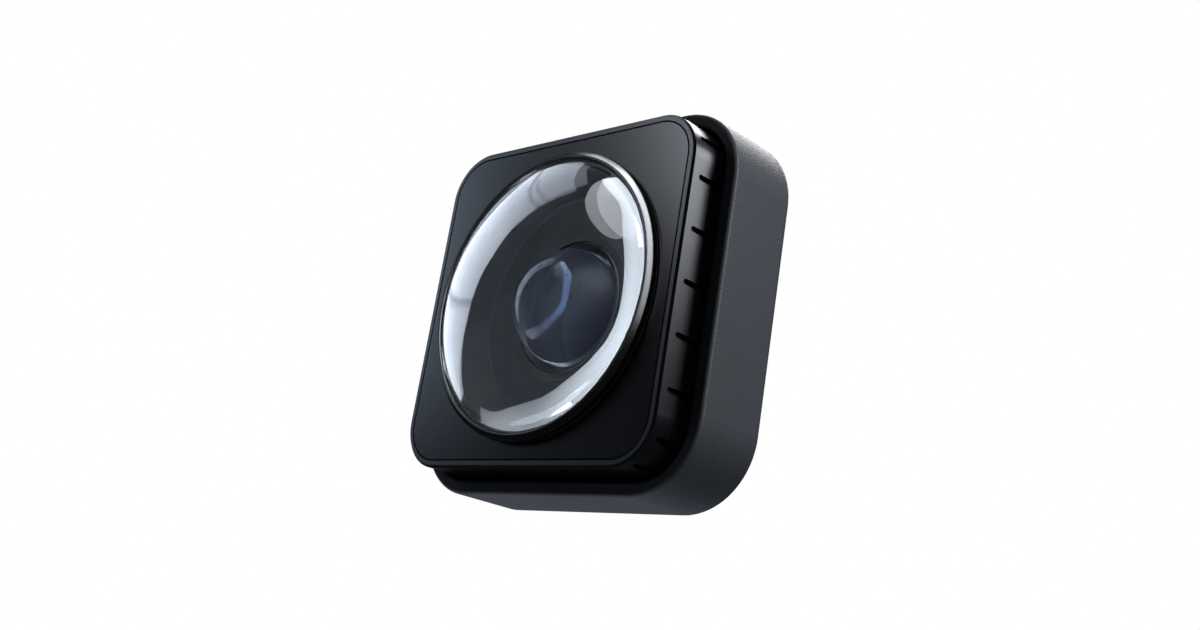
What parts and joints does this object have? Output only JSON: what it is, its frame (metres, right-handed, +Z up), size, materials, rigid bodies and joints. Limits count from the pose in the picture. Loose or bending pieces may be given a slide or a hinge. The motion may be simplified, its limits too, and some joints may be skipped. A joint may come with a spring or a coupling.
{
  "type": "action camera",
  "caption": "Square action camera: rounded matte body, pull-out square lens block with grip slots, wide glass dome, top buttons, side port door and threaded back mount.",
  "frame": {"origin": "on the surface that the camera stands on, under the middle of its overall box", "axes": "+Z up, the lens faces -Y, +X is to the right seen from the front"},
  "size_m": [0.06, 0.029, 0.0604],
  "materials": {
    "body_plastic": "fine leather-like moulded grain",
    "cover_plastic": "fine matte",
    "black_rubber": "matte",
    "screw_steel": "dark satin",
    "insert_brass": "turned",
    "battery_foil": "foil pouch",
    "board_green": "solder mask",
    "chip_black": "moulded epoxy",
    "shield_metal": "bright stamped",
    "spreader_copper": "rolled copper",
    "light_plastic": "clear diffuser",
    "magnet_metal": "nickel plated",
    "contact_gold": "gold plated",
    "button_plastic": "satin",
    "door_plastic": "matte",
    "block_plastic": "satin gloss",
    "panel_gloss": "gloss black",
    "ring_metal": "anodised satin black",
    "dome_glass": "coated clear dome",
    "baffle_black": "matt black",
    "lens_glass": "violet-blue coated"
  },
  "bodies": {
    "body": {"body_shell": "body_plastic", "back_cover": "cover_plastic", "cover_seal": "black_rubber", "cover_screws": "screw_steel", "tripod_insert": "insert_brass", "battery": "battery_foil", "battery_pad": "black_rubber", "main_board": "board_green", "board_screws": "screw_steel", "processor_chip": "chip_black", "memory_chip": "chip_black", "radio_shield": "shield_metal", "heat_spreader": "spreader_copper", "microphone": "shield_metal", "speaker": "chip_black", "status_light": "light_plastic", "antenna": "spreader_copper", "usb_socket": "shield_metal", "port_door_pin": "screw_steel", "switch_board": "board_green", "shutter_switch": "chip_black", "power_switch": "chip_black", "button_seals": "black_rubber", "body_magnets": "magnet_metal", "contact_block": "chip_black", "contact_pins": "contact_gold"},
    "shutter": {"shutter_button": "button_plastic"},
    "power": {"power_button": "button_plastic"},
    "door": {"port_door": "door_plastic", "port_door_seal": "black_rubber"},
    "lens_block": {"lens_housing": "block_plastic", "face_panel": "panel_gloss", "dome_ring": "ring_metal", "dome_seal": "black_rubber", "dome_glass": "dome_glass", "cone_baffle": "baffle_black", "lens_ring": "ring_metal", "front_lens": "lens_glass", "lens_barrel": "baffle_black", "second_lens": "lens_glass", "third_lens": "lens_glass", "ir_filter": "lens_glass", "image_sensor": "chip_black", "sensor_board": "board_green", "lens_back_plate": "block_plastic", "lens_back_screws": "screw_steel", "lens_magnets": "magnet_metal", "contact_pads": "contact_gold"}
  },
  "joints": [
    {"name": "lens_block_pull", "type": "slide", "parent": "body", "child": "lens_block", "axis": [0, -1, 0], "range_m": [0, 0.015]},
    {"name": "shutter_press", "type": "slide", "parent": "body", "child": "shutter", "axis": [0, 0, -1], "range_m": [0, 0.0005], "stiffness_N_per_m": 600, "springref_m": -0.0005},
    {"name": "power_press", "type": "slide", "parent": "body", "child": "power", "axis": [0, 0, -1], "range_m": [0, 0.0005], "stiffness_N_per_m": 600, "springref_m": -0.0005},
    {"name": "port_door_hinge", "type": "hinge", "parent": "body", "child": "door", "pos_m": [-0.0292, 0.0107, 0.036], "axis": [0, 1, 0], "range_deg": [0, 90]}
  ]
}
